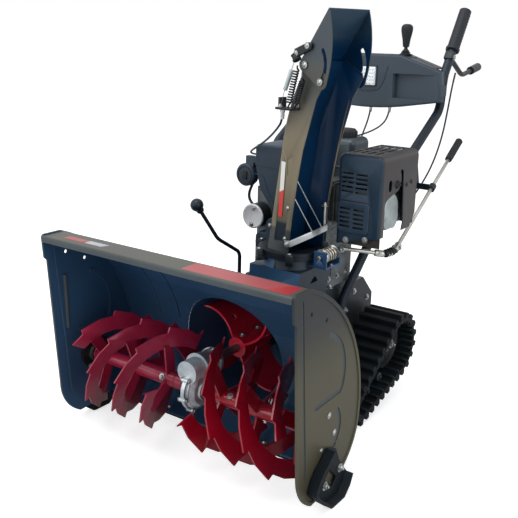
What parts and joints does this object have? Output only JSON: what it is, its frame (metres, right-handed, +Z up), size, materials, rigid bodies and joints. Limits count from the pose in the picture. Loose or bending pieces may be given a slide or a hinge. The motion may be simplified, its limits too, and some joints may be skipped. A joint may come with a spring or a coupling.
{
  "type": "tracked snow blower",
  "caption": "Two-stage snow blower on rubber tracks: serrated augers in an open housing, impeller, swivelling chute with tilting deflector, engine, handlebars and console.",
  "frame": {"origin": "on the ground, under the middle of the machine's length and width", "axes": "+Z up, -Y the way it drives and clears, +X the operator's left"},
  "size_m": [0.761, 1.232, 1.0708],
  "materials": {
    "housing_paint": "satin, grey-brown",
    "inner_paint": "satin, blue-black",
    "auger_paint": "gloss red",
    "black_paint": "satin black",
    "cast": "as cast",
    "zinc": "zinc plated",
    "steel": "turned",
    "engine": "as cast",
    "black_plastic": "moulded",
    "console_plastic": "moulded, slate",
    "guard_paint": "satin, blue-grey",
    "track_rubber": "moulded",
    "grip_rubber": "moulded",
    "lamp": "clear faceted"
  },
  "bodies": {
    "frame": {"air_cover": "black_plastic", "auger_bearings": "steel", "auger_gearbox": "cast", "belt_cover": "black_plastic", "chute_base": "inner_paint", "chute_crank": "zinc", "chute_worm": "zinc", "clutch_levers": "black_paint", "console": "console_plastic", "control_cables": "black_plastic", "crank_bracket": "black_paint", "crank_grip": "grip_rubber", "deflector_cable": "black_plastic", "drive_axle": "steel", "drive_wheels": "black_plastic", "engine_block": "engine", "engine_deck": "black_paint", "fan_shroud": "black_plastic", "fuel_cap": "black_plastic", "fuel_tank": "black_paint", "gear_lever": "black_plastic", "grips": "grip_rubber", "handle_left": "black_paint", "handle_right": "black_paint", "headlight": "lamp", "height_lever": "black_paint", "housing_wrap": "inner_paint", "idler_axle": "steel", "idler_wheels": "black_plastic", "impeller_bearing": "steel", "impeller_drum": "inner_paint", "main_frame": "black_paint", "muffler": "steel", "muffler_guard": "guard_paint", "recoil_starter": "black_plastic", "scraper_bar": "black_paint", "side_plate_left": "housing_paint", "side_plate_right": "housing_paint", "skid_shoes": "black_paint", "starter_lead": "black_plastic", "starter_motor": "steel", "starter_switch": "black_plastic", "top_beam": "housing_paint", "track_left": "track_rubber", "track_rails": "black_paint", "track_right": "track_rubber", "valve_cover": "cast", "worm_bracket": "zinc"},
    "auger": {"auger_left": "auger_paint", "auger_right": "auger_paint", "auger_shaft": "steel"},
    "impeller": {"impeller": "auger_paint", "impeller_shaft": "steel"},
    "chute": {"cable_bracket": "black_paint", "chute": "housing_paint", "chute_cable": "black_plastic", "chute_hoop": "zinc", "chute_springs": "black_paint"},
    "deflector": {"deflector": "housing_paint", "deflector_arm": "black_paint"}
  },
  "joints": [
    {"name": "auger_spin", "type": "hinge", "parent": "frame", "child": "auger", "pos_m": [0, -0.466, 0.175], "axis": [1, 0, 0], "continuous": true},
    {"name": "impeller_spin", "type": "hinge", "parent": "frame", "child": "impeller", "pos_m": [0, -0.251, 0.226], "axis": [0, 1, 0], "continuous": true},
    {"name": "chute_turn", "type": "hinge", "parent": "frame", "child": "chute", "pos_m": [0.105, -0.236, 0.49], "axis": [0, 0, 1], "range_deg": [-146, 0]},
    {"name": "deflector_tilt", "type": "hinge", "parent": "chute", "child": "deflector", "pos_m": [0.19074, -0.2558, 0.926], "axis": [0.225, 0.9744, 0], "range_deg": [0, 45]}
  ],
  "couplings": [
    {"joint": "impeller_spin", "follows": "auger_spin", "ratio": 10}
  ]
}
